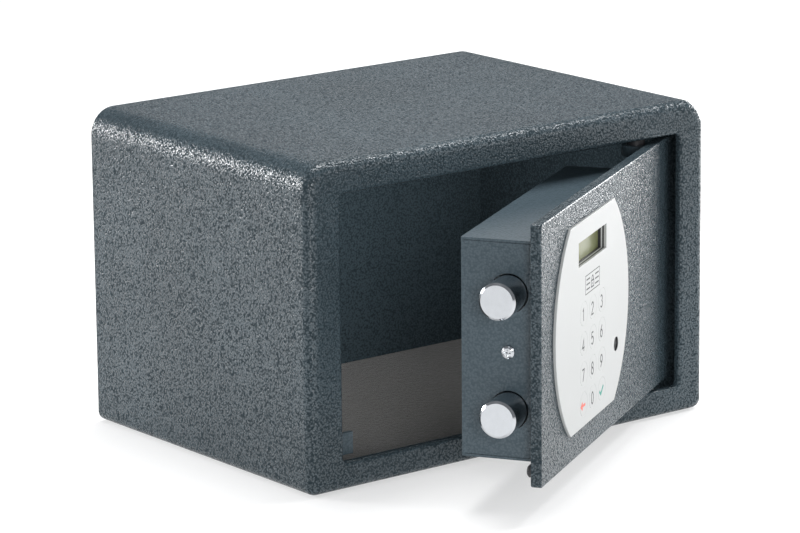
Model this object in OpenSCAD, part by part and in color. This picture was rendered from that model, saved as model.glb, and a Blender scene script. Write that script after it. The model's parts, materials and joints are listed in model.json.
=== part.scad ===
// In-room safe: steel cabinet, inset door hung on hidden pins, motorised double bolt lock
// with keypad, display, override lock and battery box. Millimetres.
// X runs along the front, Y from the front (-) to the back (+), Z up from the base.
// The door is drawn shut and then swung open about its pins.

/* [Cabinet] */
// outside width
cab_w = 280; // [260:320]
// outside depth
cab_d = 200; // [190:260]
// outside height
cab_h = 180; // [180:190]
// sheet thickness of the body
wall = 3; // [2.5:0.5:3.5]
// radius of the long top edges
top_r = 15; // [12:18]
// radius of the long bottom edges
base_r = 6; // [5:7]
// radius of the front edges
front_r = 6; // [5.5:0.5:7]
// thickness of the front frame
frame_t = 4; // [3.5:0.5:4]
// diameter of the anchor holes
anchor_d = 10; // [8:12]
// distance between the anchor holes in the base
anchor_pitch = 160; // [140:170]
// distance between the anchor holes in the back
back_pitch = 50; // [40:160]

/* [Opening and door] */
// width of the opening
open_w = 239; // [238:241]
// how far the opening sits off the middle
open_x = 1.5; // [0:0.5:2]
// lower edge of the opening
open_z0 = 16; // [15:17]
// upper edge of the opening
open_z1 = 162; // [161:163]
// gap all round the door
door_gap = 3; // [2.5:0.5:3]
// thickness of the door plate
plate_t = 6; // [5:6]
// how far the door stands open
door_open = 31.9; // [0:100]
// hinge pin diameter
pin_d = 6; // [5:6]

/* [Lock] */
// diameter of the bolts
bolt_d = 20; // [18:20]
// distance between the bolts
bolt_pitch = 62.6; // [60:64]
// stroke of the bolts
bolt_throw = 12; // [8:12]
// running clearance on the radius
run_gap = 0.05; // [0.02:0.01:0.1]

/* [Keypad] */
// radius of the round sides of the fascia
fascia_r = 73; // [70:76]
// width of the fascia
fascia_w = 130.4; // [128:133]
// height of the fascia
fascia_h = 112.4; // [108:116]
// thickness of the fascia
fascia_t = 1.5; // [1.5:0.1:2]
// diameter of a key
key_d = 13; // [11:14]
// column spacing of the keys
key_dx = 16.2; // [15:17]
// row spacing of the keys
key_dz = 16.5; // [16:17]

/* [Hidden] */
$fn = 64;
eps = 0.01;
free_gap = 0.3;

paint = [0.27, 0.33, 0.37];
paint_dark = [0.22, 0.26, 0.29];
steel = [0.62, 0.63, 0.65];
chrome = [0.82, 0.83, 0.85];
black = [0.06, 0.06, 0.07];
white = [0.90, 0.91, 0.90];
green = [0.10, 0.35, 0.20];
mat_grey = [0.30, 0.29, 0.27];

front = -cab_d / 2;
back = cab_d / 2;
frame_back = front + frame_t;
wrap_front = front + front_r;
in_w = cab_w - 2 * wall;

open_x0 = open_x - open_w / 2;
open_x1 = open_x + open_w / 2;
door_x0 = open_x0 + door_gap;
door_x1 = open_x1 - door_gap;
door_z0 = open_z0 + door_gap;
door_z1 = open_z1 - door_gap;
plate_back = front + plate_t;
pivot_x = door_x1 - 18;
pivot_y = front + 14;

// lock housing on the back of the door
box_x0 = door_x0 + 10.2;
box_x1 = 76;
box_z0 = door_z0 + 11;
box_z1 = door_z1 - 11.5;
box_t = 1.5;
box_back = front + 46.8;
box_in = box_back - box_t;

// bolts and carriage; the carriage clears the first guide post at full travel
post_x = [-62, -30];
post_z = 92;
post_d = 9;
carriage_t = 3;
bolt_mid_z = 88;
bolt_y = front + 20.8;
bolt_tip = door_x0 - 10;
bolt_end = post_x[0] - post_d / 2 - 0.5 - carriage_t - bolt_throw;
bolt_z = [bolt_mid_z - bolt_pitch / 2, bolt_mid_z + bolt_pitch / 2];
bolt_tap = 5;
plane_y = front + 32.3;
plane_t = 3;
chassis_t = 2;
chassis_x0 = -98;
chassis_x1 = -1;
chassis_z0 = 40;
chassis_z1 = 136;
chassis_y = plate_back + chassis_t;
post_top = plane_y - free_gap;
slot_w = 6 + 2 * free_gap;

// rack and pinion
mod = 1.5;
teeth = 10;
pitch_r = mod * teeth / 2;
pitch_z = 72;
pin_x = -45;
pin_z = pitch_z - pitch_r;
press_ang = 20;
backlash = 0.25;
tooth_pitch = PI * mod;
base_circle = pitch_r * cos(press_ang);
tip_r = pitch_r + 0.85 * mod;
root_r = pitch_r - 1.2 * mod;
shaft_d = 4;

// keypad
fascia_x = -30.2;
fascia_z = 90.5;
key_x = fascia_x;
key_z_top = fascia_z + 5.5;
key_t = 0.6;
film_t = 0.3;
win_w = 49.4;
win_h = 13.4;
win_x = -31;
win_z = 129.4;
bezel_t = 1;
glass_y = front + 3.3;
lock_x = 12.2;
lock_z = 64.9;
plug_d = 7.5;

// batteries
cell_d = 14.2;
cell_l = 50.5;
tray_x0 = 6;
tray_x1 = 68;
tray_z0 = 34;
tray_z1 = 97;
tray_y0 = front + 27;
tray_t = 1.5;
hatch_x0 = 9;
hatch_x1 = 65;
hatch_z0 = 37;
hatch_z1 = 93;
flap_axis_z = 98.5;
flap_axis_y = box_back + 2.1;
flap_r = 1.8;
flap_pin_d = 2;

// circuit board
board_x0 = 8;
board_x1 = 70;
board_z0 = 100;
board_z1 = 140;
board_y = front + 12;
board_t = 1.6;
button_x = 52;
button_z = 122;

// ---------- helpers ----------

// swings a door part open about the hinge pins
module on_door() {
  translate([pivot_x, pivot_y, 0]) rotate([0, 0, door_open]) translate([-pivot_x, -pivot_y, 0]) children();
}

// a front-view outline given thickness from y0 to y1
module slab(y0, y1) {
  translate([0, y1, 0]) rotate([90, 0, 0]) linear_extrude(y1 - y0) children();
}

// upright rectangle with its own top and bottom corner radii
module outline(x0, x1, z0, z1, rt, rb) {
  translate([x0, z0 + rb]) square([x1 - x0, z1 - z0 - rt - rb]);
  translate([x0 + rt, z1 - rt - eps]) square([x1 - x0 - 2 * rt, rt + eps]);
  translate([x0 + rb, z0]) square([x1 - x0 - 2 * rb, rb + eps]);
  for (x = [x0 + rt, x1 - rt]) translate([x, z1 - rt]) circle(rt);
  for (x = [x0 + rb, x1 - rb]) translate([x, z0 + rb]) circle(rb);
}

// block between two corners
module block(x0, x1, y0, y1, z0, z1) {
  translate([x0, y0, z0]) cube([x1 - x0, y1 - y0, z1 - z0]);
}

// round bar along Y, Z or X
module bar_y(x, z, d, y0, y1) {
  translate([x, y1, z]) rotate([90, 0, 0]) cylinder(d = d, h = y1 - y0);
}
module bar_z(x, y, d, z0, z1) {
  translate([x, y, z0]) cylinder(d = d, h = z1 - z0);
}
module bar_x(y, z, d, x0, x1) {
  translate([x0, y, z]) rotate([0, 90, 0]) cylinder(d = d, h = x1 - x0);
}

// quarter of a disc, the upper right one
module quarter(r) {
  intersection() {
    circle(r);
    square(r);
  }
}

// cross recess cut into a screw head that faces -X
module cross_x(x, y, z, w, depth) {
  block(x - eps, x + depth, y - w / 2, y + w / 2, z - 0.4, z + 0.4);
  block(x - eps, x + depth, y - 0.4, y + 0.4, z - w / 2, z + w / 2);
}

// ---------- cabinet ----------

module cabinet_wrap() color(paint) difference() {
  slab(wrap_front, back) outline(-cab_w / 2, cab_w / 2, 0, cab_h, top_r, base_r);
  slab(wrap_front - 1, back + 1)
    outline(-in_w / 2, in_w / 2, wall, cab_h - wall, top_r - wall, base_r - wall);
  for (s = [-1, 1]) bar_z(s * anchor_pitch / 2, 0, anchor_d, -1, wall + 1);
}

// front with rounded outer edges all round
module frame_blank() {
  ex = cab_w / 2 - front_r;
  cx = cab_w / 2 - top_r;
  cz = cab_h - top_r;
  block(-ex, ex, front, wrap_front, front_r, cz);
  block(-cx, cx, front, wrap_front, cz, cab_h - front_r);
  // lower and upper edges
  translate([-ex, wrap_front, front_r]) rotate([90, 0, 90]) linear_extrude(2 * ex)
    mirror([1, 0]) mirror([0, 1]) quarter(front_r);
  translate([-cx, wrap_front, cab_h - front_r]) rotate([90, 0, 90]) linear_extrude(2 * cx)
    mirror([1, 0]) quarter(front_r);
  // upright edges and corners
  for (m = [0, 1]) mirror([m, 0, 0]) {
    translate([ex, wrap_front, front_r]) linear_extrude(cz - front_r) mirror([0, 1]) quarter(front_r);
    translate([cx, wrap_front, cz]) rotate([90, 0, 0]) rotate_extrude(angle = 90) {
      square([top_r - front_r, front_r]);
      translate([top_r - front_r, 0]) quarter(front_r);
    }
    translate([ex, wrap_front, front_r]) mirror([0, 0, 1]) rotate([90, 0, 0])
      rotate_extrude(angle = 90) quarter(front_r);
  }
}

module front_frame() color(paint) difference() {
  frame_blank();
  slab(front - 1, wrap_front + 1) outline(open_x0, open_x1, open_z0, open_z1, 3, 3);
  slab(frame_back, wrap_front + 1)
    outline(-in_w / 2, in_w / 2, wall, cab_h - wall, top_r - wall, base_r - wall);
}

module back_panel() color(paint) difference() {
  slab(back - 4, back - 1)
    outline(-in_w / 2, in_w / 2, wall, cab_h - wall, top_r - wall, base_r - wall);
  for (s = [-1, 1]) bar_y(s * back_pitch / 2, cab_h / 2, anchor_d, back - 5, back);
}

module floor_mat() color(mat_grey) difference() {
  block(-in_w / 2 + 4, in_w / 2 - 4, wrap_front + 4, back - 5, wall, wall + 2);
  for (s = [-1, 1]) bar_z(s * anchor_pitch / 2, 0, anchor_d + 6, 0, wall + 3);
}

// one hinge bracket: leg on the frame, tongue round the pin
module bracket(leg_z0, leg_z1, tongue_z) difference() {
  union() {
    block(pivot_x - 12, pivot_x + 12, frame_back, frame_back + 3, leg_z0, leg_z1);
    block(pivot_x - 12, pivot_x + 12, frame_back, pivot_y, tongue_z, tongue_z + 3);
    bar_z(pivot_x, pivot_y, 24, tongue_z, tongue_z + 3);
  }
  block(pivot_x - 13, pivot_x + 13, front - 1, frame_back, tongue_z - 1, tongue_z + 4);
  bar_z(pivot_x, pivot_y, 10, tongue_z - 1, tongue_z + 4);
}

module hinge_brackets() color(paint_dark) {
  bracket(open_z1 + 1, cab_h - wall - 1, open_z1 + 4);
  bracket(wall + 1, open_z0 - 1, open_z0 - 7);
}

// flanged sleeve that lines a bracket, flange on the door's side
module bushing(z0, flange_z) difference() {
  union() {
    bar_z(pivot_x, pivot_y, 10, z0, z0 + 3);
    bar_z(pivot_x, pivot_y, 14, flange_z, flange_z + 1);
  }
  bar_z(pivot_x, pivot_y, pin_d + 2 * run_gap, z0 - 2, z0 + 5);
}

module hinge_bushings() color(black) {
  bushing(open_z1 + 4, open_z1 + 3);
  bushing(open_z0 - 7, open_z0 - 4);
}

stop_y = plate_back + 3 + free_gap;

module door_stop() color(paint_dark) {
  step_x = open_x0 - 3;
  block(step_x - 13, step_x + 2.5, frame_back, frame_back + 2.5, 17, 29);
  block(step_x, step_x + 2.5, frame_back, stop_y + 2.5, 17, 29);
  block(step_x, door_x0 + 10, stop_y, stop_y + 2.5, 17, 29);
}

// ---------- door ----------

module door_plate() color(paint) on_door() difference() {
  union() {
    slab(front, plate_back) outline(door_x0, door_x1, door_z0, door_z1, 1.2, 1.2);
    block(box_x1 - box_t - 9, box_x1 - box_t, plate_back, plate_back + 12, 82, 94);
  }
  block(win_x - win_w / 2 - bezel_t, win_x + win_w / 2 + bezel_t, front - 1, plate_back + 1,
    win_z - win_h / 2 - bezel_t, win_z + win_h / 2 + bezel_t);
  block(16.5, 30.5, front - 1, plate_back + 1, 95.8, 98.2);
  bar_y(lock_x, lock_z, 14, front - 1, plate_back + 1);
  bar_x(plate_back + 6, 88, 3, box_x1 - box_t - 7.5, box_x1);
}

// lug that carries a pin, round at its rear end
module lug(z0) difference() {
  union() {
    block(pivot_x - 8, pivot_x + 8, plate_back, pivot_y, z0, z0 + 6);
    bar_z(pivot_x, pivot_y, 16, z0, z0 + 6);
  }
  bar_z(pivot_x, pivot_y, pin_d, z0 - 1, z0 + 7);
}

module hinge_lugs() color(paint) on_door() {
  lug(door_z1 - 8);
  lug(door_z0 + 2);
}

module hinge_pins() color(steel) on_door() {
  bar_z(pivot_x, pivot_y, pin_d, door_z1 - 10, open_z1 + 9);
  bar_z(pivot_x, pivot_y, 9, door_z1 - 10, door_z1 - 8);
  bar_z(pivot_x, pivot_y, pin_d, open_z0 - 9, door_z0 + 10);
  bar_z(pivot_x, pivot_y, 9, door_z0 + 8, door_z0 + 10);
}

module spacer(z0, z1) difference() {
  bar_z(pivot_x, pivot_y, 10, z0, z1);
  bar_z(pivot_x, pivot_y, pin_d, z0 - 1, z1 + 1);
}

module hinge_spacers() color(black) on_door() {
  spacer(door_z1 - 2, open_z1 + 3 - free_gap);
  spacer(open_z0 - 3 + free_gap, door_z0 + 2);
}

module door_bumper() color(black) on_door() {
  bar_y(door_x0 + 5.6, door_z0 + 7.5, 7, plate_back, plate_back + 2);
  translate([door_x0 + 5.6, plate_back + 3, door_z0 + 7.5]) rotate([90, 0, 0])
    cylinder(d1 = 5, d2 = 7, h = 1);
}

stud_xz = [[-84, 76], [-84, 100], [-12, 46], [-12, 104]];
spacer_xz = [[board_x0 + 4, board_z0 + 4], [board_x1 - 4, board_z0 + 4],
  [board_x0 + 4, board_z1 - 4], [board_x1 - 4, board_z1 - 4]];

module plate_studs() color(steel) on_door() {
  for (p = stud_xz) bar_y(p[0], p[1], 4, plate_back, chassis_y + 3.4);
  for (p = spacer_xz) bar_y(p[0], p[1], 6, plate_back, board_y);
}

// ---------- lock ----------

module lock_chassis() color(steel) on_door() difference() {
  union() {
    block(chassis_x0, chassis_x1, plate_back, chassis_y, chassis_z0, chassis_z1);
    block(chassis_x0 + 2, chassis_x0 + 5, chassis_y, front + 36, chassis_z0, chassis_z1);
    block(box_x0 + box_t, chassis_x0 + 2, front + 15, front + 27, 82, 94);
    for (x = post_x) bar_y(x, post_z, post_d, chassis_y, post_top);
    for (z = [86, 96]) bar_y(chassis_x1 - 3, z, 4.5, chassis_y, front + 31);
  }
  block(-62, chassis_x1 + 1, plate_back - 1, chassis_y + 1, 110, chassis_z1 + 1);
  for (z = bolt_z) bar_x(bolt_y, z, bolt_d + 2 * run_gap, chassis_x0 + 1, chassis_x0 + 6);
  for (p = stud_xz) bar_y(p[0], p[1], 4, plate_back - 1, chassis_y + 1);
  for (x = post_x) bar_y(x, post_z, 4, post_top - 8, post_top + 1);
  bar_x(bolt_y + 0.3, bolt_mid_z, 3, box_x0, box_x0 + 8);
}

module chassis_nuts() color(steel) on_door() {
  for (p = stud_xz) difference() {
    translate([p[0], chassis_y + 3, p[1]]) rotate([90, 0, 0]) cylinder(d = 8, h = 3, $fn = 6);
    bar_y(p[0], p[1], 4, chassis_y - 1, chassis_y + 4);
  }
}

module shoulder_screws() color(steel) on_door() {
  for (x = post_x) difference() {
    union() {
      bar_y(x, post_z, 4, post_top - 8, post_top);
      bar_y(x, post_z, 6, post_top, plane_y + plane_t + 0.4);
      bar_y(x, post_z, 10, plane_y + plane_t + 0.4, plane_y + plane_t + 2.8);
    }
    block(x - 4, x + 4, plane_y + plane_t + 1.8, plane_y + plane_t + 3, post_z - 0.6, post_z + 0.6);
  }
}

module gearbox() color([0.75, 0.76, 0.78]) on_door() difference() {
  union() {
    block(pin_x - 11, pin_x + 11, front + 14, front + 30, pin_z - 11, pin_z + 11);
    bar_y(pin_x, pin_z, 10, front + 30, front + 31.5);
  }
  bar_y(pin_x, pin_z, shaft_d + 2 * run_gap, front + 22, front + 32);
}

module lock_motor() color(steel) on_door() {
  bar_x(front + 21, pin_z, 18, pin_x + 11, pin_x + 36);
  bar_x(front + 21, pin_z, 6, pin_x + 36, pin_x + 38);
}

module motor_bracket() color(steel) on_door() {
  translate([0, 0, pin_z - 9]) linear_extrude(18) polygon([
    [pin_x - 17, chassis_y], [pin_x - 9.5, chassis_y], [pin_x - 9.5, front + 12.5],
    [pin_x + 9.5, front + 12.5], [pin_x + 9.5, chassis_y], [pin_x + 17, chassis_y],
    [pin_x + 17, chassis_y + 1.5], [pin_x + 11, chassis_y + 1.5], [pin_x + 11, front + 14],
    [pin_x - 11, front + 14], [pin_x - 11, chassis_y + 1.5], [pin_x - 17, chassis_y + 1.5]]);
}

module lock_cover() color(paint) on_door() difference() {
  union() {
    difference() {
      block(box_x0, box_x1, plate_back, box_back, box_z0, box_z1);
      block(box_x0 + box_t, box_x1 - box_t, plate_back - 1, box_in, box_z0 + box_t, box_z1 - box_t);
    }
    for (x = [hatch_x0 - 2, hatch_x1 - 2.6]) {
      bar_x(flap_axis_y, flap_axis_z, 2 * flap_r, x, x + 4.6);
      block(x, x + 4.6, box_back - 0.2, flap_axis_y, flap_axis_z - flap_r, flap_axis_z + flap_r);
    }
  }
  for (z = bolt_z) bar_x(bolt_y, z, bolt_d + 1, box_x0 - 1, box_x0 + box_t + 1);
  bar_x(bolt_y + 0.3, bolt_mid_z, 3, box_x0 - 1, box_x0 + 3);
  bar_x(plate_back + 6, bolt_mid_z, 3, box_x1 - 3, box_x1 + 1);
  block(hatch_x0, hatch_x1, box_in - 1, box_back + 0.2, hatch_z0, hatch_z1);
  bar_x(flap_axis_y, flap_axis_z, flap_pin_d, hatch_x0 - 3, hatch_x1 + 3);
  bar_y(button_x, button_z, 7 + 2 * free_gap, box_in - 1, box_back + 1);
  for (z = [box_z0 + box_t - 0.2, box_z1 - box_t - 0.2])
    block(box_x0 - 1, box_x0 + 0.5, plate_back + 0.6, box_back - 1.4, z, z + 0.4);
}

// pan head screw with a cross recess, head facing -X
module cover_screw(x, y, z) difference() {
  union() {
    bar_x(y, z, 3, x, x + 7);
    bar_x(y, z, 6.8, x - 1.2, x);
    translate([x - 2, y, z]) rotate([0, 90, 0]) cylinder(d1 = 4.4, d2 = 6.8, h = 0.8);
  }
  cross_x(x - 2, y, z, 3.6, 1.2);
}

module cover_screws() color(chrome) on_door() {
  cover_screw(box_x0, bolt_y + 0.3, bolt_mid_z);
  translate([box_x1, plate_back + 6, bolt_mid_z]) rotate([0, 0, 180]) cover_screw(0, 0, 0);
}

module lock_bolts() color(chrome) on_door() for (z = bolt_z) difference() {
  union() {
    bar_x(bolt_y, z, bolt_d, bolt_tip + 1.2, bolt_end);
    translate([bolt_tip, bolt_y, z]) rotate([0, 90, 0]) cylinder(d1 = bolt_d - 2.4, d2 = bolt_d, h = 1.2);
  }
  bar_x(bolt_y, z, bolt_tap, bolt_end - 12, bolt_end + 1);
}

rack_gaps = [-5:4];

// space of one rack tooth gap, centred on x = 0, pitch line at 0, body above
module rack_gap() {
  half = tooth_pitch / 4 + backlash / 4;
  low = -0.85 * mod - 0.1;
  high = 1.25 * mod;
  polygon([
    [-half + low * tan(press_ang), low], [half - low * tan(press_ang), low],
    [half - high * tan(press_ang), high], [-half + high * tan(press_ang), high]]);
}

module bolt_carriage() color(steel) on_door() difference() {
  union() {
    block(bolt_end, bolt_end + carriage_t, front + 12, plane_y + plane_t, bolt_z[0] - 12, bolt_z[1] + 12);
    block(bolt_end, -20, plane_y, plane_y + plane_t, pitch_z - 0.85 * mod, 106);
  }
  for (z = bolt_z) bar_x(bolt_y, z, bolt_tap, bolt_end - 1, bolt_end + carriage_t + 1);
  for (x = post_x) {
    for (dx = [0, -bolt_throw]) bar_y(x + dx, post_z, slot_w, plane_y - 1, plane_y + plane_t + 1);
    block(x - bolt_throw, x, plane_y - 1, plane_y + plane_t + 1, post_z - slot_w / 2, post_z + slot_w / 2);
  }
  for (i = rack_gaps) slab(plane_y - 1, plane_y + plane_t + 1)
    translate([pin_x + (i - 1) * tooth_pitch, pitch_z]) rack_gap();
}

module bolt_screws() color(steel) on_door() for (z = bolt_z) {
  bar_x(bolt_y, z, bolt_tap, bolt_end - 10, bolt_end + carriage_t);
  bar_x(bolt_y, z, 9, bolt_end + carriage_t, bolt_end + carriage_t + 3);
}

// involute flank: radius and angle from the tooth's centre line
function inv(a) = tan(a) * 180 / PI - a;
function flank_ang(r) = (90 / teeth) - (backlash / 4) / pitch_r * 180 / PI
  + inv(press_ang) - inv(acos(min(1, base_circle / r)));
flank_r = [for (i = [0:4]) base_circle + (tip_r - base_circle) * i / 4];

module pinion_tooth() {
  polygon(concat(
    [[root_r * 0.9 * sin(flank_ang(base_circle)), root_r * 0.9 * cos(flank_ang(base_circle))]],
    [for (r = flank_r) [r * sin(flank_ang(r)), r * cos(flank_ang(r))]],
    [for (i = [4:-1:0]) [-flank_r[i] * sin(flank_ang(flank_r[i])), flank_r[i] * cos(flank_ang(flank_r[i]))]],
    [[-root_r * 0.9 * sin(flank_ang(base_circle)), root_r * 0.9 * cos(flank_ang(base_circle))]]));
}

module drive_pinion() color(white) on_door() {
  slab(plane_y, plane_y + plane_t) translate([pin_x, pin_z]) {
    circle(root_r);
    for (i = [0:teeth - 1]) rotate(i * 360 / teeth) pinion_tooth();
  }
  bar_y(pin_x, pin_z, 8, plane_y + plane_t, plane_y + plane_t + 2);
  bar_y(pin_x, pin_z, shaft_d, front + 24, plane_y);
}

module limit_switch() color(black) on_door() {
  block(chassis_x1 - 6, chassis_x1, front + 31, front + 37, 84, 98);
  block(chassis_x1 - 6.5, chassis_x1 - 6, front + 33, front + 35, 90, 93);
}

// ---------- keypad and display ----------

module fascia_outline() {
  intersection() {
    translate([fascia_w / 2 - fascia_r, 0]) circle(fascia_r, $fn = 128);
    translate([fascia_r - fascia_w / 2, 0]) circle(fascia_r, $fn = 128);
    translate([-fascia_r, -fascia_h / 2]) square([2 * fascia_r, fascia_h]);
  }
}

module keypad_fascia() color(white) on_door() difference() {
  slab(front - fascia_t, front) translate([fascia_x, fascia_z]) fascia_outline();
  block(win_x - win_w / 2, win_x + win_w / 2, front - fascia_t - 1, front + 1,
    win_z - win_h / 2, win_z + win_h / 2);
  bar_y(lock_x, lock_z, 8, front - fascia_t - 1, front + 1);
  block(-54, 2, front - film_t, front + 1, 36, 104);
  block(1.9, 32, front - film_t, front + 1, 94, 100);
  for (c = [-1:1]) for (r = [0:3])
    bar_y(key_x + c * key_dx, key_z_top - r * key_dz, key_d + 2 * free_gap, front - fascia_t - 1, front);
}

module membrane_circuit() color([0.85, 0.80, 0.60]) on_door() {
  block(-54, 2, front - film_t, front, 36, 104);
  block(2, 32, front - film_t, front, 94, 100);
}

module keypad_ribbon() color([0.80, 0.55, 0.25]) on_door() {
  block(17, 30, front, front + 10, 96.8, 97.1);
  block(17, 30, front + 9.7, front + 10, 97.1, 106);
}

// one key, column -1 to 1 and row 0 to 3 from the top
module key(c, r) color(white) on_door()
  bar_y(key_x + c * key_dx, key_z_top - r * key_dz, key_d, front - fascia_t, front - fascia_t + key_t);

module key_1() key(-1, 0);
module key_2() key(0, 0);
module key_3() key(1, 0);
module key_4() key(-1, 1);
module key_5() key(0, 1);
module key_6() key(1, 1);
module key_7() key(-1, 2);
module key_8() key(0, 2);
module key_9() key(1, 2);
module key_clear() key(-1, 3);
module key_0() key(0, 3);
module key_enter() key(1, 3);

module display_bezel() color(black) on_door() difference() {
  block(win_x - win_w / 2 - bezel_t, win_x + win_w / 2 + bezel_t, front, glass_y,
    win_z - win_h / 2 - bezel_t, win_z + win_h / 2 + bezel_t);
  block(win_x - win_w / 2, win_x + win_w / 2, front - 1, glass_y + 1,
    win_z - win_h / 2, win_z + win_h / 2);
}

module display_glass() color([0.55, 0.58, 0.36]) on_door()
  block(win_x - win_w / 2 - bezel_t, win_x + win_w / 2 + bezel_t, glass_y, plate_back,
    win_z - win_h / 2 - bezel_t, win_z + win_h / 2 + bezel_t);

module display_board() color(green) on_door() {
  block(-60, 6, plate_back, plate_back + 1.6, 113, 143);
  block(-46, -8, plate_back + 1.6, plate_back + 3.2, 122, 134);
}

// ---------- override lock ----------

module override_body() color(steel) on_door() difference() {
  bar_y(lock_x, lock_z, 14, front, front + 22);
  bar_y(lock_x, lock_z, plug_d + 4 * run_gap, front - 1, front + 23);
}

module override_nut() color(steel) on_door() difference() {
  translate([lock_x, plate_back + 3.5, lock_z]) rotate([90, 0, 0]) cylinder(d = 21, h = 3.5, $fn = 6);
  bar_y(lock_x, lock_z, 14, plate_back - 1, plate_back + 4);
}

module override_plug() color(black) on_door() difference() {
  bar_y(lock_x, lock_z, plug_d, front + 0.5, front + 22.5);
  block(lock_x - 0.6, lock_x + 0.6, front - 1, front + 12, lock_z - 2.4, lock_z + 2.4);
}

module override_cam() color(steel) on_door() {
  bar_y(lock_x, lock_z, 11, front + 22.5, front + 24);
  block(lock_x - 4, lock_x + 4, front + 22.5, front + 24, lock_z, lock_z + 16);
}

// ---------- electronics and batteries ----------

module main_board() color(green) on_door()
  block(board_x0, board_x1, board_y, board_y + board_t, board_z0, board_z1);

module board_components() color(black) on_door() {
  y = board_y + board_t;
  block(16, 32, board_y - 4, board_y, 106, 111);
  block(9, 17, y, y + 5.5, 102, 110);
  block(34, 46, y, y + 2.2, 104, 116);
  block(60, 67, y, y + 8, 106, 113);
  bar_y(38, 131, 6.3, y, y + 9);
  block(button_x - 3, button_x + 3, y, y + 4, button_z - 3, button_z + 3);
}

module buzzer() color(black) on_door() difference() {
  bar_y(22, 130, 12, board_y + board_t, board_y + board_t + 6);
  bar_y(22, 130, 2, board_y + board_t + 4, board_y + board_t + 7);
}

module reset_button() color([0.65, 0.08, 0.08]) on_door() {
  bar_y(button_x, button_z, 7, box_in - 1.5, box_back + 1.8);
  bar_y(button_x, button_z, 3, board_y + board_t + 5.8, box_in - 1.5);
}

module battery_holder() color(black) on_door() difference() {
  block(tray_x0, tray_x1, tray_y0, box_in, tray_z0, tray_z1);
  block(tray_x0 + tray_t, tray_x1 - tray_t, tray_y0 + tray_t, box_in + 1,
    tray_z0 + tray_t, tray_z1 - tray_t);
}

cell_y = tray_y0 + tray_t + cell_d / 2;
cell_z = [for (i = [0:3]) tray_z0 + tray_t + 7.5 + 15 * i];

// a cell lying along X with its cap at the high end
module cell() {
  bar_x(0, 0, cell_d, -cell_l / 2, cell_l / 2 - 1);
  bar_x(0, 0, 5.5, cell_l / 2 - 1, cell_l / 2);
}

module battery_cells() color([0.20, 0.30, 0.45]) on_door() for (i = [0:3])
  translate([(tray_x0 + tray_x1) / 2 + (i % 2 == 0 ? 3 : -3), cell_y, cell_z[i]])
    rotate([0, 0, i % 2 == 0 ? 0 : 180]) cell();

// spring at one end of each cell and a plate at the other
module battery_contacts() color(steel) on_door() for (i = [0:3]) {
  lo = tray_x0 + tray_t;
  hi = tray_x1 - tray_t;
  mid = (lo + hi) / 2;
  s = i % 2 == 0 ? 1 : -1;
  gap_l = (hi - lo - cell_l) / 2 + 3;
  plate_l = (hi - lo - cell_l) / 2 - 3;
  translate([mid, cell_y, cell_z[i]]) rotate([0, 0, s > 0 ? 0 : 180]) {
    translate([lo - mid, 0, 0]) rotate([0, 90, 0]) cylinder(d1 = 8, d2 = 5, h = gap_l);
    translate([hi - mid - plate_l, -4, -4]) cube([plate_l, 8, 8]);
  }
}

module battery_flap() color(paint) on_door() difference() {
  union() {
    block(hatch_x0 - 4, hatch_x1 + 4, box_back + 0.4, box_back + 1.9, hatch_z0 - 4, flap_axis_z - 2.2);
    block(hatch_x0 + 3, hatch_x1 - 3, box_back + 0.4, box_back + 1.9, flap_axis_z - 2.3, flap_axis_z);
    bar_x(flap_axis_y, flap_axis_z, 2 * flap_r, hatch_x0 + 3, hatch_x1 - 3);
    bar_y((hatch_x0 + hatch_x1) / 2, hatch_z0 + 2, 7, box_back + 1.9, box_back + 4.4);
  }
  bar_x(flap_axis_y, flap_axis_z, flap_pin_d + 2 * run_gap, hatch_x0 + 2, hatch_x1 - 2);
}

module flap_pin() color(steel) on_door()
  bar_x(flap_axis_y, flap_axis_z, flap_pin_d, hatch_x0 - 2, hatch_x1 + 2);

// round wire through a list of points
module wire(pts, d) {
  for (i = [0:len(pts) - 2]) {
    v = pts[i + 1] - pts[i];
    translate(pts[i])
      rotate([0, acos(v[2] / norm(v)), atan2(v[1], v[0])]) cylinder(d = d, h = norm(v));
  }
  for (i = [1:len(pts) - 2]) translate(pts[i]) sphere(d = d + 0.3);
}

module wiring_leads() color([0.70, 0.10, 0.10]) on_door() {
  y = front + 21;
  wire([[pin_x + 36, y, 57.5], [-0.5, y, 57.5], [-0.5, y, 104], [-0.5, front + 17, 104],
    [9, front + 17, 104]], 1.4);
  wire([[pin_x + 36, y - 2, 71.5], [1.3, y - 2, 71.5], [1.3, y - 2, 108], [1.3, front + 17, 108],
    [9, front + 17, 108]], 1.4);
  wire([[tray_x0, front + 34, 92], [3, front + 34, 92], [3, front + 34, 106],
    [3, front + 17, 106], [9, front + 17, 106]], 1.4);
}

cabinet_wrap();
front_frame();
back_panel();
floor_mat();
hinge_brackets();
hinge_bushings();
door_stop();
door_plate();
hinge_lugs();
hinge_pins();
hinge_spacers();
door_bumper();
plate_studs();
lock_chassis();
chassis_nuts();
shoulder_screws();
gearbox();
lock_motor();
motor_bracket();
lock_cover();
cover_screws();
keypad_fascia();
membrane_circuit();
keypad_ribbon();
display_bezel();
display_glass();
display_board();
override_body();
override_nut();
main_board();
board_components();
buzzer();
limit_switch();
battery_holder();
battery_cells();
battery_contacts();
flap_pin();
wiring_leads();
lock_bolts();
bolt_carriage();
bolt_screws();
drive_pinion();
override_plug();
override_cam();
battery_flap();
reset_button();
key_1();
key_2();
key_3();
key_4();
key_5();
key_6();
key_7();
key_8();
key_9();
key_clear();
key_0();
key_enter();
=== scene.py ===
import json
import math

import bmesh
import bpy
from mathutils import Matrix, Vector


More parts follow.
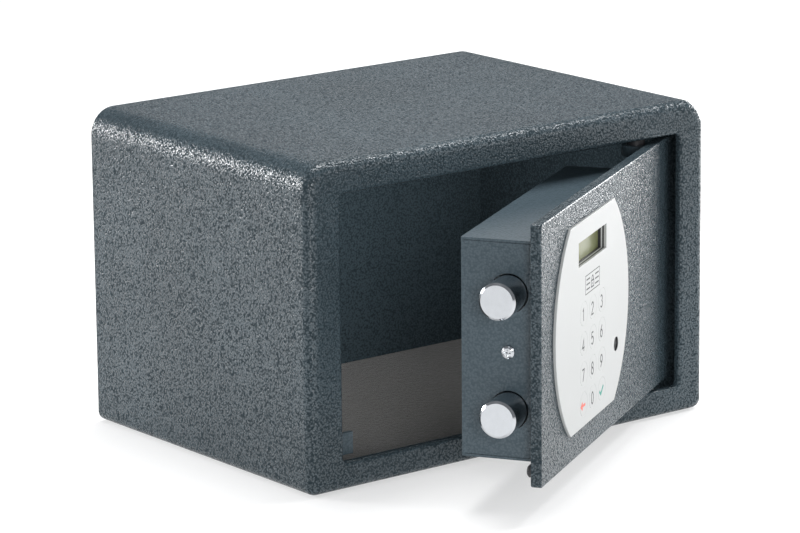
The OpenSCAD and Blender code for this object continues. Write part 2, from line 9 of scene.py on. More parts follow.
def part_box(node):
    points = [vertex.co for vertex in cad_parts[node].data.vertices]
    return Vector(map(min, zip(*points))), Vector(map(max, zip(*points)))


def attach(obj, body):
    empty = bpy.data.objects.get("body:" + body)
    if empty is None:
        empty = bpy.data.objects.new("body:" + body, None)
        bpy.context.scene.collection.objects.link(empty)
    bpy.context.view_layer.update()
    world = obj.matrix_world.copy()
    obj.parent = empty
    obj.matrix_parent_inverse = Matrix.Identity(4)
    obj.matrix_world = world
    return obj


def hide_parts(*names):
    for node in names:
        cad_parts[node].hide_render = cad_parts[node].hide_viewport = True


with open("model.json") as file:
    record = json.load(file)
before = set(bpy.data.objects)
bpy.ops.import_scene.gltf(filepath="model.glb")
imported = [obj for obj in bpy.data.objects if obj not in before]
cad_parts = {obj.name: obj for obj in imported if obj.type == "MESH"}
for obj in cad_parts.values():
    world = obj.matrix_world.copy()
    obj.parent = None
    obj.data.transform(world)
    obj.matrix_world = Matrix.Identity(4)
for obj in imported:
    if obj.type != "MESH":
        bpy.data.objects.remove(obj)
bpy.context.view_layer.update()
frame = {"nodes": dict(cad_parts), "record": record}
NODES = frame["nodes"]
JOINTS = {j["name"]: j for j in frame["record"]["behaviour"]["joints"]}
MM = 0.001

# ------------------------------------------------------------------ places
# The door is drawn shut, in millimetres: u along the front, w into the door, z up.
PIVOT = Vector(JOINTS["door_hinge"]["pos_m"]).xy
ALONG = Vector(JOINTS["bolt_slide"]["axis"])
OPEN = math.atan2(ALONG.y, ALONG.x)
CAB_LO, CAB_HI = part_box("cabinet_wrap")
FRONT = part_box("front_frame")[0].y
SHUT = (
    Matrix.Translation((PIVOT.x, PIVOT.y, 0))
    @ Matrix.Rotation(OPEN, 4, "Z")
    @ Matrix.Translation((-PIVOT.x, -PIVOT.y, 0))
    @ Matrix.Translation((0, FRONT, 0))
    @ Matrix.Scale(MM, 4)
)
CABINET = Matrix.Translation((0, FRONT, 0)) @ Matrix.Scale(MM, 4)
TO_SHUT = SHUT.inverted()


def shut_box(node):
    """Lowest and highest corner of a door node in shut-door millimetres."""
    pts = [TO_SHUT @ v.co for v in NODES[node].data.vertices]
    return [[f(p[i] for p in pts) for i in range(3)] for f in (min, max)]


# ------------------------------------------------------------------ materials
def new_mat(name):
    mat = bpy.data.materials.new(name)
    mat.use_nodes = True
    tree = mat.node_tree
    return mat, tree, tree.nodes["Principled BSDF"]


def add(tree, kind, **inputs):
    """Adds a node. A keyword sets the node's own property of that name, or else its input."""
    node = tree.nodes.new(kind)
    for key, value in inputs.items():
        if hasattr(node, key):
            setattr(node, key, value)
        else:
            node.inputs[key.replace("_", " ")].default_value = value
    return node


def join(tree, a, b):
    tree.links.new(a, b)


def coords(tree, scale=(1, 1, 1)):
    """Object coordinates in metres, stretched by scale."""
    tex = add(tree, "ShaderNodeTexCoord")
    mapping = add(tree, "ShaderNodeMapping")
    mapping.inputs["Scale"].default_value = scale
    join(tree, tex.outputs["Object"], mapping.inputs["Vector"])
    return mapping.outputs["Vector"]


def ramp(tree, fac, stops):
    node = add(tree, "ShaderNodeValToRGB")
    elements = node.color_ramp.elements
    while len(elements) < len(stops):
        elements.new(0.5)
    for element, (pos, col) in zip(elements, stops):
        element.position = pos
        element.color = (*col, 1) if len(col) == 3 else col
    join(tree, fac, node.inputs["Fac"])
    return node.outputs["Color"]


def bump(tree, bsdf, height, distance):
    """Relief of up to distance metres."""
    node = add(tree, "ShaderNodeBump")
    node.inputs["Distance"].default_value = distance
    node.inputs["Strength"].default_value = 1.0
    join(tree, height, node.inputs["Height"])
    join(tree, node.outputs["Normal"], bsdf.inputs["Normal"])


def math_node(tree, op, a, b):
    """Works on two numbers or sockets."""
    node = add(tree, "ShaderNodeMath", operation=op)
    for socket, value in zip(node.inputs, (a, b)):
        if isinstance(value, (int, float)):
            socket.default_value = value
        else:
            join(tree, value, socket)
    return node.outputs[0]


def spread(tree, value, low, high):
    """Maps a value from 0..1 onto low..high."""
    node = add(tree, "ShaderNodeMapRange")
    node.inputs["To Min"].default_value = low
    node.inputs["To Max"].default_value = high
    join(tree, value, node.inputs["Value"])
    return node


def two_tone(tree, fac, base, change):
    """The base colour a little darker to a little lighter, from 0.3 to 0.7 of fac."""
    dark = [c * (1 - change) for c in base]
    lite = [min(1, c * (1 + change)) for c in base]
    return ramp(tree, fac, [(0.3, dark), (0.7, lite)])


def hammer_paint(name, base, cell, depth, rough, contrast=1.0):
    """Powder coat: rounded pebbles about a cell wide that run together, under a broad cloudy tone; painted
    shade darkens the pits and painted light brightens the crests.
    """
    mat, tree, bsdf = new_mat(name)
    vec = coords(tree)
    warp = add(tree, "ShaderNodeTexNoise", Scale=0.8 / cell, Detail=1.0)
    join(tree, vec, warp.inputs["Vector"])
    offset = add(tree, "ShaderNodeVectorMath", operation="MULTIPLY_ADD")
    join(tree, warp.outputs["Color"], offset.inputs[0])
    offset.inputs[1].default_value = (cell * 0.9,) * 3
    join(tree, vec, offset.inputs[2])
    cells = add(tree, "ShaderNodeTexVoronoi", Scale=1 / cell)
    cells.feature = "SMOOTH_F1"
    cells.inputs["Smoothness"].default_value = 0.35
    join(tree, offset.outputs[0], cells.inputs["Vector"])
    grain = add(tree, "ShaderNodeTexNoise", Scale=0.9 / cell, Detail=2.5)
    join(tree, vec, grain.inputs["Vector"])
    square = math_node(tree, "MULTIPLY", cells.outputs["Distance"], cells.outputs["Distance"])
    dome = math_node(tree, "SUBTRACT", 1.0, square)
    lumps = math_node(tree, "MULTIPLY", grain.outputs["Fac"], 0.8)
    height = math_node(tree, "ADD", dome, lumps)
    bump(tree, bsdf, height, depth)
    # Painted shade on the reflection: the pebbles reflect less in their pits than on their crests.
    pit_shaded_gloss = spread(tree, dome, 0.36 - 0.33 * contrast, 0.36 + 0.30 * contrast)
    pit_shaded_gloss.inputs["From Min"].default_value = 0.55
    pit_shaded_gloss.inputs["From Max"].default_value = 0.95
    join(tree, pit_shaded_gloss.outputs["Result"], bsdf.inputs["Specular IOR Level"])
    broad = add(tree, "ShaderNodeTexNoise", Scale=11, Detail=3.0)
    join(tree, vec, broad.inputs["Vector"])
    # Painted shade and painted light of the relief: the colour is darker in the pebbles' pits and lighter on
    # their crests, over the paint's own broad cloudy tone.
    tone = math_node(tree, "MULTIPLY_ADD", dome, 0.7)
    join(tree, math_node(tree, "MULTIPLY", broad.outputs["Fac"], 0.4), tone.node.inputs[2])
    dark = [c * (1 - 0.36 * contrast) for c in base]
    lite = [c * (1 + 0.26 * contrast) for c in base]
    join(tree, ramp(tree, tone, [(0.6, dark), (0.76, base), (0.9, lite)]), bsdf.inputs["Base Color"])
    worn = spread(tree, broad.outputs["Fac"], rough * 0.8, rough * 1.25)
    join(tree, worn.outputs["Result"], bsdf.inputs["Roughness"])
    return mat


def metal(name, base, rough, streak=(1, 1, 1), grain=900, depth=0.00001, wear=0.08):
    """Plated or brushed metal with fine directional grain."""
    mat, tree, bsdf = new_mat(name)
    vec = coords(tree, streak)
    noise = add(tree, "ShaderNodeTexNoise", Scale=grain, Detail=3.0)
    join(tree, vec, noise.inputs["Vector"])
    join(tree, two_tone(tree, noise.outputs["Fac"], base, wear), bsdf.inputs["Base Color"])
    shine = spread(tree, noise.outputs["Fac"], rough * 0.8, rough * 1.25)
    join(tree, shine.outputs["Result"], bsdf.inputs["Roughness"])
    bsdf.inputs["Metallic"].default_value = 1.0
    bump(tree, bsdf, noise.outputs["Fac"], depth)
    return mat


def plastic(name, base, rough=0.42, grain=2500, depth=0.00001, change=0.05):
    """Moulded plastic or rubber with a fine even grain."""
    mat, tree, bsdf = new_mat(name)
    vec = coords(tree)
    noise = add(tree, "ShaderNodeTexNoise", Scale=grain, Detail=2.0)
    join(tree, vec, noise.inputs["Vector"])
    broad = add(tree, "ShaderNodeTexNoise", Scale=30, Detail=2.0)
    join(tree, vec, broad.inputs["Vector"])
    join(tree, two_tone(tree, broad.outputs["Fac"], base, change), bsdf.inputs["Base Color"])
    bsdf.inputs["Roughness"].default_value = rough
    bump(tree, bsdf, noise.outputs["Fac"], depth)
    return mat


def felt(name, base):
    """Needle felt: matted fibres over a soft pile."""
    mat, tree, bsdf = new_mat(name)
    vec = coords(tree)
    fibres = add(tree, "ShaderNodeTexNoise", Scale=1400, Detail=6.0, Distortion=2.2)
    tufts = add(tree, "ShaderNodeTexVoronoi", Scale=420)
    for node in (fibres, tufts):
        join(tree, vec, node.inputs["Vector"])
    height = math_node(tree, "ADD", fibres.outputs["Fac"], tufts.outputs["Distance"])
    tone = math_node(tree, "MULTIPLY", height, 0.7)
    dark = [c * 0.6 for c in base]
    lite = [c * 1.35 for c in base]
    join(tree, ramp(tree, tone, [(0.3, dark), (0.75, lite)]), bsdf.inputs["Base Color"])
    bsdf.inputs["Roughness"].default_value = 0.95
    bsdf.inputs["Sheen Weight"].default_value = 0.35
    bump(tree, bsdf, height, 0.0004)
    return mat


def board_mat(name, base):
    """Solder-masked circuit board with a grid of lighter tracks."""
    mat, tree, bsdf = new_mat(name)
    vec = coords(tree)
    brick = add(tree, "ShaderNodeTexBrick", Scale=260)
    brick.inputs["Color1"].default_value = (*base, 1)
    brick.inputs["Color2"].default_value = (*[c * 0.8 for c in base], 1)
    brick.inputs["Mortar"].default_value = (*[min(1, c * 1.7) for c in base], 1)
    brick.inputs["Mortar Size"].default_value = 0.06
    join(tree, vec, brick.inputs["Vector"])
    join(tree, brick.outputs["Color"], bsdf.inputs["Base Color"])
    bsdf.inputs["Roughness"].default_value = 0.3
    bump(tree, bsdf, brick.outputs["Fac"], 0.00003)
    return mat


M = {
    "paint": hammer_paint("paint", (0.040, 0.058, 0.069), 0.0011, 0.00029, 0.20),
    "paint_flat": hammer_paint("paint_flat", (0.052, 0.076, 0.092), 0.0013, 0.00014, 0.34, 0.3),
    "chrome": metal("chrome", (0.545, 0.565, 0.59), 0.18, grain=300, depth=0.000002, wear=0.03),
    "steel": metal("steel", (0.58, 0.58, 0.59), 0.32, (1, 1, 6)),
    "rubber": plastic("rubber", (0.018, 0.018, 0.020), 0.75, 1500, 0.00003, 0.2),
    "black": plastic("black", (0.022, 0.022, 0.025), 0.5, 2000, 0.00002, 0.15),
    "white": plastic("white", (0.42, 0.43, 0.427), 0.45, 2600, 0.000006, 0.01),
    "liner": plastic("liner", (0.50, 0.51, 0.51), 0.5),
    "film": plastic("film", (0.62, 0.45, 0.18), 0.3),
    "glass": plastic("display_olive", (0.185, 0.20, 0.092), 0.22, 900, 0.000002, 0.10),
    "ink": plastic("ink", (0.020, 0.021, 0.024), 0.5),
    "ink_red": plastic("ink_red", (0.62, 0.11, 0.07), 0.5),
    "ink_green": plastic("ink_green", (0.0, 0.22, 0.17), 0.5),
    "red": plastic("red", (0.45, 0.03, 0.03), 0.35),
    "cell": plastic("cell", (0.05, 0.10, 0.24), 0.25, 500, 0.000004, 0.1),
    "gear": plastic("gear", (0.72, 0.72, 0.68), 0.4),
    "board": board_mat("board", (0.015, 0.12, 0.05)),
    "felt": felt("felt", (0.050, 0.048, 0.044)),
}

CAD_LOOK = {
    "paint": ["cabinet_wrap", "back_panel"],
    "paint_flat": ["hinge_brackets", "door_stop", "hinge_lugs", "battery_flap", "lock_cover"],
    "felt": ["floor_mat"],
    "steel": ["hinge_pins", "plate_studs", "lock_chassis", "chassis_nuts", "shoulder_screws", "gearbox",
              "lock_motor", "motor_bracket", "override_body", "override_nut", "battery_contacts", "flap_pin",
              "bolt_carriage", "bolt_screws", "override_cam"],
    "chrome": ["lock_bolts", "cover_screws"],
    # The hinge bushings and spacers are black partly as painted shade, so that the hinge stays dark where it
    # shows in the cabinet's opening.
    "black": ["hinge_bushings", "hinge_spacers", "board_components", "buzzer", "limit_switch",
              "battery_holder", "override_plug", "door_bumper"],
    "board": ["display_board", "main_board"],
    "film": ["membrane_circuit", "keypad_ribbon"],
    "glass": ["display_glass"],
    "cell": ["battery_cells"],
    "gear": ["drive_pinion"],
    "red": ["wiring_leads", "reset_button"],
}
for look, names in CAD_LOOK.items():
    for name in names:
        data = NODES[name].data
        data.materials.clear()
        data.materials.append(M[look])


# ------------------------------------------------------------------ mesh tools
SHARP = math.radians(32)    # edges sharper than this stay crisp
FLAT = 0.99995              # a face this square to an axis of its own frame is shaded flat


def finish_mesh(name, bm, mat, body, place=SHUT, replaces=(), smooth=True):
    """Turns a bmesh in millimetres into a piece that rides on a body."""
    bmesh.ops.recalc_face_normals(bm, faces=bm.faces)
    bm.normal_update()
    round_faces = [smooth and max(abs(c) for c in face.normal) < FLAT for face in bm.faces]
    bm.transform(place)
    bmesh.ops.recalc_face_normals(bm, faces=bm.faces)
    data = bpy.data.meshes.new(name)
    bm.to_mesh(data)
    bm.free()
    for m in mat if isinstance(mat, (list, tuple)) else [mat]:
        data.materials.append(m)
    obj = bpy.data.objects.new(name, data)
    bpy.context.scene.collection.objects.link(obj)
    data.set_sharp_from_angle(angle=SHARP)
    data.polygons.foreach_set("use_smooth", round_faces)
    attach(obj, body)
    if replaces:
        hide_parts(*replaces)
    return obj


def skin(bm, loops, second=()):
    """Joins each loop to the next, and the last to the first, with quads. All loops have equally many
    points. The strips whose numbers are in second get the second material."""
    rows = [[bm.verts.new(p) for p in loop] for loop in loops]
    for strip, (a, b) in enumerate(zip(rows, rows[1:] + rows[:1])):
        for i in range(len(a)):
            j = (i + 1) % len(a)
            face = bm.faces.new((a[i], a[j], b[j], b[i]))
            face.material_index = int(strip in second)


def ring(x0, x1, z0, z1, radii, y, steps=8):
    """Rounded rectangle facing the front; radii run lower left, lower right, upper right, upper left."""
    pts = []
    centres = [(x0, z0, 1, 1, 180), (x1, z0, -1, 1, 270), (x1, z1, -1, -1, 0), (x0, z1, 1, -1, 90)]
    for (cx, cz, sx, sz, start), r in zip(centres, radii):
        for k in range(steps + 1):
            a = math.radians(start + 90 * k / steps)
            pts.append((cx + sx * r + r * math.cos(a), y, cz + sz * r + r * math.sin(a)))
    return pts


def inset_ring(x0, x1, z0, z1, radii, y, d, steps=8):
    """The same outline moved inwards by d, at depth y."""
    return ring(x0 + d, x1 - d, z0 + d, z1 - d, [max(r - d, 0.05) for r in radii], y, steps)


def flat_shape(name, loops, w0, w1, bevel=0.0):
    """Flat bmesh with holes from 2-D loops in (u, z), with rounded rims, from depth w0 to w1."""
    curve = bpy.data.curves.new(name, "CURVE")
    curve.dimensions = "2D"
    curve.fill_mode = "BOTH"
    curve.extrude = (w1 - w0) / 2 - bevel
    curve.bevel_depth = bevel
    curve.bevel_resolution = 3
    curve.offset = -bevel
    for loop in loops:
        spline = curve.splines.new("POLY")
        spline.points.add(len(loop) - 1)
        for point, (x, z) in zip(spline.points, loop):
            point.co = (x, z, 0, 1)
        spline.use_cyclic_u = True
    holder = bpy.data.objects.new(name, curve)
    bpy.context.scene.collection.objects.link(holder)
    depsgraph = bpy.context.evaluated_depsgraph_get()
    data = bpy.data.meshes.new_from_object(holder.evaluated_get(depsgraph))
    bm = bmesh.new()
    bm.from_mesh(data)
    bpy.data.objects.remove(holder)
    bpy.data.curves.remove(curve)
    bpy.data.meshes.remove(data)
    bmesh.ops.remove_doubles(bm, verts=bm.verts, dist=1e-4)
    for v in bm.verts:
        x, z, h = v.co
        v.co = (x, (w0 + w1) / 2 - h, z)
    return bm


def circle(cx, cz, r, steps=48):
    """A round loop for flat_shape or lathe."""
    return [(cx + r * math.cos(2 * math.pi * k / steps), cz + r * math.sin(2 * math.pi * k / steps))
            for k in range(steps)]


def lathe(bm, profile, place, steps):
    """Turns a profile of (radius, height) about the height axis; ends at radius 0 are closed."""
    rows = []
    for r, h in profile:
        points = circle(0, 0, r, steps) if r else [(0, 0)]
        rows.append([bm.verts.new(place @ Vector((x, y, h))) for x, y in points])
    for a, b in zip(rows, rows[1:]):
        for k in range(steps):
            j = (k + 1) % steps
            quad = [a[k % len(a)], a[j % len(a)], b[j % len(b)], b[k % len(b)]]
            bm.faces.new(list(dict.fromkeys(quad)))


def rect(x0, x1, z0, z1, r=0.0, steps=4):
    """A rectangular loop for flat_shape, with rounded corners if r is given."""
    if r <= 0:
        return [(x0, z0), (x1, z0), (x1, z1), (x0, z1)]
    return [(x, z) for x, _, z in ring(x0, x1, z0, z1, [r] * 4, 0, steps)]


TOWARDS_FRONT = Matrix.Rotation(math.radians(90), 4, "X")    # +Z becomes -w, out of the door's face

# ------------------------------------------------------------------ cabinet front
cab_w = (CAB_HI.x - CAB_LO.x) / MM
cab_h = (CAB_HI.z - CAB_LO.z) / MM
TOP_R, BASE_R, EDGE_R = 15.0, 6.0, 6.0    # corners of the outline, and its rounded front edge
DOOR_GAP, HOLE_R = 3.0, 3.0               # gap round the door, and the opening's corners
LIP_R = 2.2                               # rounded rim of the opening
FRAME_T, RIM_T = 4.0, 3.0                 # thickness of the frame, and of the rim behind its edge
LIP_STEPS, EDGE_STEPS = 6, 10
plate_lo, plate_hi = shut_box("door_plate")
hole = (plate_lo[0] - DOOR_GAP, plate_hi[0] + DOOR_GAP, plate_lo[2] - DOOR_GAP, plate_hi[2] + DOOR_GAP)
outer = (-cab_w / 2, cab_w / 2, 0.0, cab_h)
outer_r = [BASE_R, BASE_R, TOP_R, TOP_R]
loops = [ring(*hole, [HOLE_R] * 4, FRAME_T)]
for k in range(LIP_STEPS + 1):
    a = math.radians(90 * k / LIP_STEPS)
    grow = LIP_R * (1 - math.cos(a))
    loops.append(ring(hole[0] - grow, hole[1] + grow, hole[2] - grow, hole[3] + grow,
                      [HOLE_R + grow] * 4, LIP_R - LIP_R * math.sin(a)))
for k in range(EDGE_STEPS + 1):
    a = math.radians(90 * k / EDGE_STEPS)
    loops.append(inset_ring(*outer, outer_r, EDGE_R - EDGE_R * math.cos(a), EDGE_R - EDGE_R * math.sin(a)))
loops.append(inset_ring(*outer, outer_r, EDGE_R, RIM_T))
loops.append(inset_ring(*outer, outer_r, FRAME_T, RIM_T))
bm = bmesh.new()
skin(bm, loops)
finish_mesh("front_frame_skin", bm, M["paint"], "cabinet", CABINET, ["front_frame"])

# ------------------------------------------------------------------ door plate
PLATE_T, PLATE_R, PLATE_RIM = 6.0, 1.5, 0.7      # thickness, corners and rounded rim
RIBBON_SLOT = rect(16.5, 30.5, 95.8, 98.2)       # the keypad's ribbon cable goes through here
LOCK_HOLE_R = 7.0                                # round the override lock's body
win_lo, win_hi = shut_box("display_bezel")
lock_lo, lock_hi = shut_box("override_body")
lock_u, lock_z = (lock_lo[0] + lock_hi[0]) / 2, (lock_lo[2] + lock_hi[2]) / 2
bm = flat_shape("plate", [
    rect(plate_lo[0], plate_hi[0], plate_lo[2], plate_hi[2], PLATE_R),
    rect(win_lo[0], win_hi[0], win_lo[2], win_hi[2]),
    RIBBON_SLOT,
    circle(lock_u, lock_z, LOCK_HOLE_R),
], 0.0, PLATE_T, PLATE_RIM)
finish_mesh("door_plate_skin", bm, M["paint"], "door", SHUT, ["door_plate"])

# ------------------------------------------------------------------ keypad fascia
f_lo, f_hi = shut_box("keypad_fascia")
f_u, f_z = (f_lo[0] + f_hi[0]) / 2, (f_lo[2] + f_hi[2]) / 2
F_W, F_H, F_T = f_hi[0] - f_lo[0], f_hi[2] - f_lo[2], -f_lo[1]
F_R, F_RIM, F_STEPS = 73.0, 0.12, 48      # bowed sides, their rounded rim and their number of steps
BEZEL_T, WINDOW_R = 1.0, 0.3              # width of the display's bezel, and the window's corners
KEY_GAP, KEY_STEPS = 0.06, 64             # gap round each key, and the steps in its circle
KEYHOLE_R = 4.0                           # round the way in to the override lock
half = math.asin(F_H / 2 / F_R)
outline = []
for side in (1, -1):
    for k in range(F_STEPS + 1):
        a = -half + 2 * half * k / F_STEPS
        outline.append((f_u + side * (F_W / 2 - F_R + F_R * math.cos(a)), f_z + side * F_R * math.sin(a)))
KEYS = ["1", "2", "3", "4", "5", "6", "7", "8", "9", "clear", "0", "enter"]
key_boxes = {k: shut_box("key_" + k) for k in KEYS}
key_mid = {k: ((lo[0] + hi[0]) / 2, (lo[2] + hi[2]) / 2) for k, (lo, hi) in key_boxes.items()}
key_r = (key_boxes["5"][1][2] - key_boxes["5"][0][2]) / 2
inner = (win_lo[0] + BEZEL_T, win_hi[0] - BEZEL_T, win_lo[2] + BEZEL_T, win_hi[2] - BEZEL_T)
loops = [outline, rect(*inner, WINDOW_R, 3), circle(lock_u, lock_z, KEYHOLE_R)]
loops += [circle(*key_mid[k], key_r + KEY_GAP, KEY_STEPS) for k in KEYS]
bm = flat_shape("fascia", loops, -F_T, 0.0, F_RIM)
finish_mesh("keypad_fascia_skin", bm, M["white"], "door", SHUT, ["keypad_fascia"])

# a dark tube lines the way in to the override lock
TUBE_R, TUBE_LIP, TUBE_BORE = 3.97, 3.80, 3.76    # outside, its front lip, and inside
TUBE_END = 0.3                                    # its bore's ends lie this far inside the fascia
bm = bmesh.new()
lathe(bm, [(TUBE_R, TUBE_END), (TUBE_R, F_T - 0.25), (TUBE_LIP, F_T - 0.15), (TUBE_BORE, F_T - TUBE_END),
           (TUBE_BORE, TUBE_END)], Matrix.Translation((lock_u, 0, lock_z)) @ TOWARDS_FRONT, 48)
finish_mesh("keyway_sleeve", bm, M["rubber"], "door", SHUT)

# round keys, flush with the fascia, with eased edges
BACK_EASE, FACE_EASE = 0.08, 0.06
for k in KEYS:
    u, z = key_mid[k]
    face_w, back_w = key_boxes[k][0][1], key_boxes[k][1][1]
    h = back_w - face_w
    bm = bmesh.new()
    lathe(bm, [(0, 0), (key_r - BACK_EASE, 0), (key_r, BACK_EASE), (key_r, h - FACE_EASE),
               (key_r - FACE_EASE / 3, h - FACE_EASE / 3), (key_r - FACE_EASE, h), (0, h)],
          Matrix.Translation((u, back_w, z)) @ TOWARDS_FRONT, KEY_STEPS)
    finish_mesh("key_%s_face" % k, bm, M["white"], "key_" + k, SHUT, ["key_" + k])


# ------------------------------------------------------------------ printed marks
def stroke(path, width, closed=False):
    """Outline of a line of even width along a path of 2-D points."""
    pts = [Vector(p) for p in path]
    n = len(pts)
    left, right = [], []
    for i, p in enumerate(pts):
        before = pts[i - 1] if i or closed else None
        after = pts[(i + 1) % n] if i < n - 1 or closed else None
        d1 = (p - before).normalized() if before is not None else None
        d2 = (after - p).normalized() if after is not None else None
        ahead = d2 or d1
        d = ((d1 or d2) + ahead).normalized()
        side = Vector((-d.y, d.x))
        k = width / 2 / max(0.5, side.dot(Vector((-ahead.y, ahead.x))))
        left.append(p + side * k)
        right.append(p - side * k)
    if closed:
        return [[tuple(q) for q in left], [tuple(q) for q in right]]
    return [[tuple(q) for q in left + right[::-1]]]


def arc(cx, cy, rx, ry, a0, a1, n=14):
    """Points along an ellipse from angle a0 to a1, in degrees."""
    return [(cx + rx * math.cos(math.radians(a0 + (a1 - a0) * i / n)),
             cy + ry * math.sin(math.radians(a0 + (a1 - a0) * i / n))) for i in range(n + 1)]


# Each digit is a list of strokes, (path, closed), in millimetres from its centre, about 4 wide and 7 high.
ROUND = (0, 345, 23)    # start, end and steps of a closed loop
DIGITS = {
    "0": [(arc(0, 0, 1.75, 3.2, *ROUND), True)],
    "1": [([(-1.0, 2.2), (0.3, 3.2), (0.3, -3.2)], False)],
    "2": [(arc(0, 1.5, 1.7, 1.7, 165, -25) + [(-1.8, -3.2), (1.9, -3.2)], False)],
    "3": [(arc(-0.1, 1.65, 1.55, 1.55, 150, -75), False), (arc(-0.1, -1.45, 1.75, 1.75, 80, -150), False)],
    "4": [([(0.8, -3.2), (0.8, 3.2), (-1.9, -1.3), (1.9, -1.3)], False)],
    "5": [([(1.6, 3.2), (-1.2, 3.2), (-1.5, 0.4)] + arc(-0.1, -1.15, 1.85, 2.0, 125, -150), False)],
    "6": [([(1.2, 3.2)] + arc(0.1, -1.2, 1.9, 2.6, 115, 175, 8), False),
          (arc(0, -1.25, 1.75, 1.95, *ROUND), True)],
    "7": [([(-1.8, 3.2), (1.8, 3.2), (-0.5, -3.2)], False)],
    "8": [(arc(0, 1.65, 1.45, 1.5, *ROUND), True), (arc(0, -1.45, 1.8, 1.75, *ROUND), True)],
    "9": [([(-1.2, -3.2)] + arc(-0.1, 1.2, 1.9, 2.6, -65, -5, 8), False),
          (arc(0, 1.25, 1.75, 1.95, *ROUND), True)],
}
INK_T, INK_STEP, INK_SINK = 0.02, 0.006, 0.01    # height, rise from stroke to stroke, depth in the surface


def print_marks(name, marks, u, z, mat, body, line=0.9, scale=1.0):
    """Prints strokes as one thin raised film on the fascia."""
    whole = bmesh.new()
    for i, (path, closed) in enumerate(marks):
        loops = stroke([(u + x * scale, z + y * scale) for x, y in path], line, closed)
        part = flat_shape(name, loops, -F_T - INK_T - INK_STEP * i, -F_T + INK_SINK)
        data = bpy.data.meshes.new(name)
        part.to_mesh(data)
        part.free()
        whole.from_mesh(data)
        bpy.data.meshes.remove(data)
    finish_mesh(name, whole, mat, body, smooth=False)


# in the photograph the print sits a little off the keys' centres
PRINT_U, PRINT_Z = -1.0, -0.6
PRINT = {k: (u + PRINT_U, z + PRINT_Z) for k, (u, z) in key_mid.items()}
for k in "1234567890":
    print_marks("digit_" + k, DIGITS[k], *PRINT[k], M["ink"], "key_" + k)
BACK_ARROW = [([(2.6, 0), (-2.4, 0)], False), ([(-0.9, 1.4), (-2.7, 0), (-0.9, -1.4)], False)]
TICK = [([(-2.4, 0.1), (-0.6, -1.4), (2.6, 1.5)], False)]
MARK_SCALE = 1.4
print_marks("mark_clear", BACK_ARROW, *PRINT["clear"], M["ink_red"], "key_clear", 1.5, MARK_SCALE)
print_marks("mark_enter", TICK, *PRINT["enter"], M["ink_green"], "key_enter", 1.6, MARK_SCALE)

# a plain padlock in a thin box where the maker's panel was
BADGE_W, BADGE_H, BADGE_RISE = 25.0, 10.0, 20.0
badge = (f_u + PRINT_U, f_z + BADGE_RISE)
BADGE_BOX = [(rect(-BADGE_W / 2, BADGE_W / 2, -BADGE_H / 2, BADGE_H / 2), True)]
print_marks("badge_box", BADGE_BOX, *badge, M["ink"], "door", 0.5)
LOCK_SIGN = [(rect(-2.3, 2.3, -3.1, 0.3), True), (arc(0, 0.6, 1.5, 2.3, 0, 180, 12), False),
             ([(0, -0.9), (0, -2.0)], False)]
LINES = [([(x, y), (x + 6.2, y)], False) for x in (-10.8, 4.6) for y in (2.6, 0, -2.6)]
print_marks("badge_sign", LOCK_SIGN + LINES, *badge, M["ink"], "door", 0.8)

# ------------------------------------------------------------------ display recess
# The surround's section as (inward, depth): black walls that stand PROUD of the pale band between them.
RECESS_D, RECESS_W, PROUD = 3.3, 0.95, 0.02
BAND_TOP, BAND_END = 0.9, 1.7
section = [(PROUD, -PROUD), (PROUD, BAND_TOP), (0.0, BAND_TOP), (0.0, BAND_END), (PROUD, BAND_END),
           (PROUD, RECESS_D), (-RECESS_W, RECESS_D), (-RECESS_W, 0.0)]
bm = bmesh.new()
skin(bm, [inset_ring(*inner, [WINDOW_R] * 4, w, inward, 3) for inward, w in section], second=[2])
finish_mesh("display_surround", bm, [M["black"], M["liner"]], "door", SHUT, ["display_bezel"])

# ------------------------------------------------------------------ camera
# View, distance and lens are from the match of the safe's corners to the photograph.
AZ, EL, ROLL = math.radians(38.161), math.radians(13.655), math.radians(-0.5217)
DIST, FOCAL = 2.3163, 185.04
AIM_Z = 0.090                                 # half way up the cabinet
SIDE_STEP, UP_STEP = -0.00045, -0.00352       # from the aimed place to the matched one
fwd = Vector((math.sin(AZ) * math.cos(EL), math.cos(AZ) * math.cos(EL), -math.sin(EL)))
right = Vector((math.cos(AZ), -math.sin(AZ), 0))
up = right.cross(fwd)
right, up = (math.cos(ROLL) * right + math.sin(ROLL) * up, math.cos(ROLL) * up - math.sin(ROLL) * right)
eye = Vector((0, 0, AIM_Z)) - fwd * DIST + right * SIDE_STEP + up * UP_STEP
cam_data = bpy.data.cameras.new("camera")
cam_data.lens, cam_data.sensor_width, cam_data.sensor_fit = FOCAL, 36, "HORIZONTAL"
cam_data.clip_start, cam_data.clip_end = 0.05, 60
camera = bpy.data.objects.new("camera", cam_data)
camera.matrix_world = Matrix.Translation(eye) @ Matrix((right, up, -fwd)).transposed().to_4x4()
bpy.context.scene.collection.objects.link(camera)
bpy.context.scene.camera = camera


# ------------------------------------------------------------------ light and floor
def softbox(name, where, aim, size, power):
    """A white rectangular lamp, in metres and watts."""
    light = bpy.data.lights.new(name, "AREA")
    light.shape = "RECTANGLE"
    light.size, light.size_y = size
    light.energy = power
    obj = bpy.data.objects.new(name, light)
    obj.location = where
    obj.rotation_euler = (Vector(aim) - Vector(where)).to_track_quat("-Z", "Y").to_euler()
    bpy.context.scene.collection.objects.link(obj)
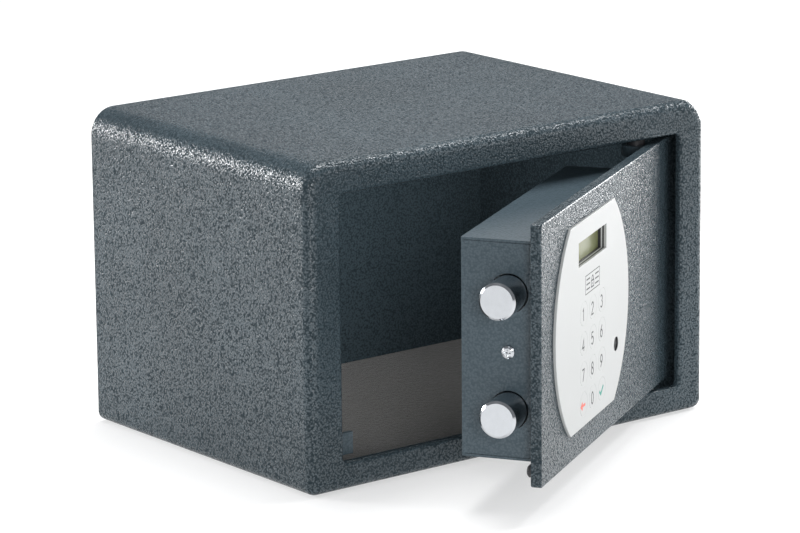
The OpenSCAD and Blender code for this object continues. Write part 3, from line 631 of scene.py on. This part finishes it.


# Set one by one. The left two draw the bright upper edge; the one inside lights the cabinet's interior.
softbox("back_left", (-1.02, 1.25, 0.50), (0, 0, 0.12), (0.75, 0.50), 10)
softbox("edge_left", (-1.02, 1.24, 0.44), (0, 0, 0.12), (0.30, 0.16), 11)
softbox("back_right", (1.05, 1.38, 1.00), (0, 0, 0.12), (0.80, 0.50), 1.6)
softbox("over_right", (1.30, -0.35, 1.75), (0, -0.05, 0.12), (0.42, 0.42), 18)
softbox("overhead", (0.10, 0.20, 1.60), (0, 0, 0.1), (0.8, 0.8), 26)
softbox("right_card", (1.35, 0.27, 0.24), (0, -0.1, 0.12), (1.0, 0.44), 24)
softbox("front_right", (1.30, -1.70, 0.60), (0, -0.1, 0.1), (0.7, 0.6), 7)
softbox("front_left", (-1.00, -1.95, 0.60), (0, -0.1, 0.1), (0.6, 0.6), 20)
softbox("inside", (0.0, -0.06, 0.150), (0.0, 0.10, 0.09), (0.16, 0.02), 0.20)

world = bpy.data.worlds.new("world")
world.use_nodes = True
sky = world.node_tree.nodes["Background"].inputs
sky["Color"].default_value = (0.92, 0.95, 1.0, 1)
sky["Strength"].default_value = 0.24
bpy.context.scene.world = world

SPAN = 9.0            # half the floor's side, so that it fills the picture
FLOOR_Z = -0.0002     # just under the safe's base
bm = bmesh.new()
corners = ((-SPAN, -SPAN), (SPAN, -SPAN), (SPAN, SPAN), (-SPAN, SPAN))
bm.faces.new([bm.verts.new((x, y, FLOOR_Z)) for x, y in corners])
data = bpy.data.meshes.new("floor")
bm.to_mesh(data)
bm.free()
floor_mat, tree, bsdf = new_mat("floor_white")
bsdf.inputs["Base Color"].default_value = (0.45, 0.45, 0.45, 1)
bsdf.inputs["Roughness"].default_value = 0.9
bsdf.inputs["Emission Color"].default_value = (1, 1, 1, 1)
bsdf.inputs["Emission Strength"].default_value = 0.54
data.materials.append(floor_mat)
floor = bpy.data.objects.new("floor", data)
bpy.context.scene.collection.objects.link(floor)

scene = bpy.context.scene
scene.view_settings.view_transform = "Standard"
scene.view_settings.exposure = 0.0
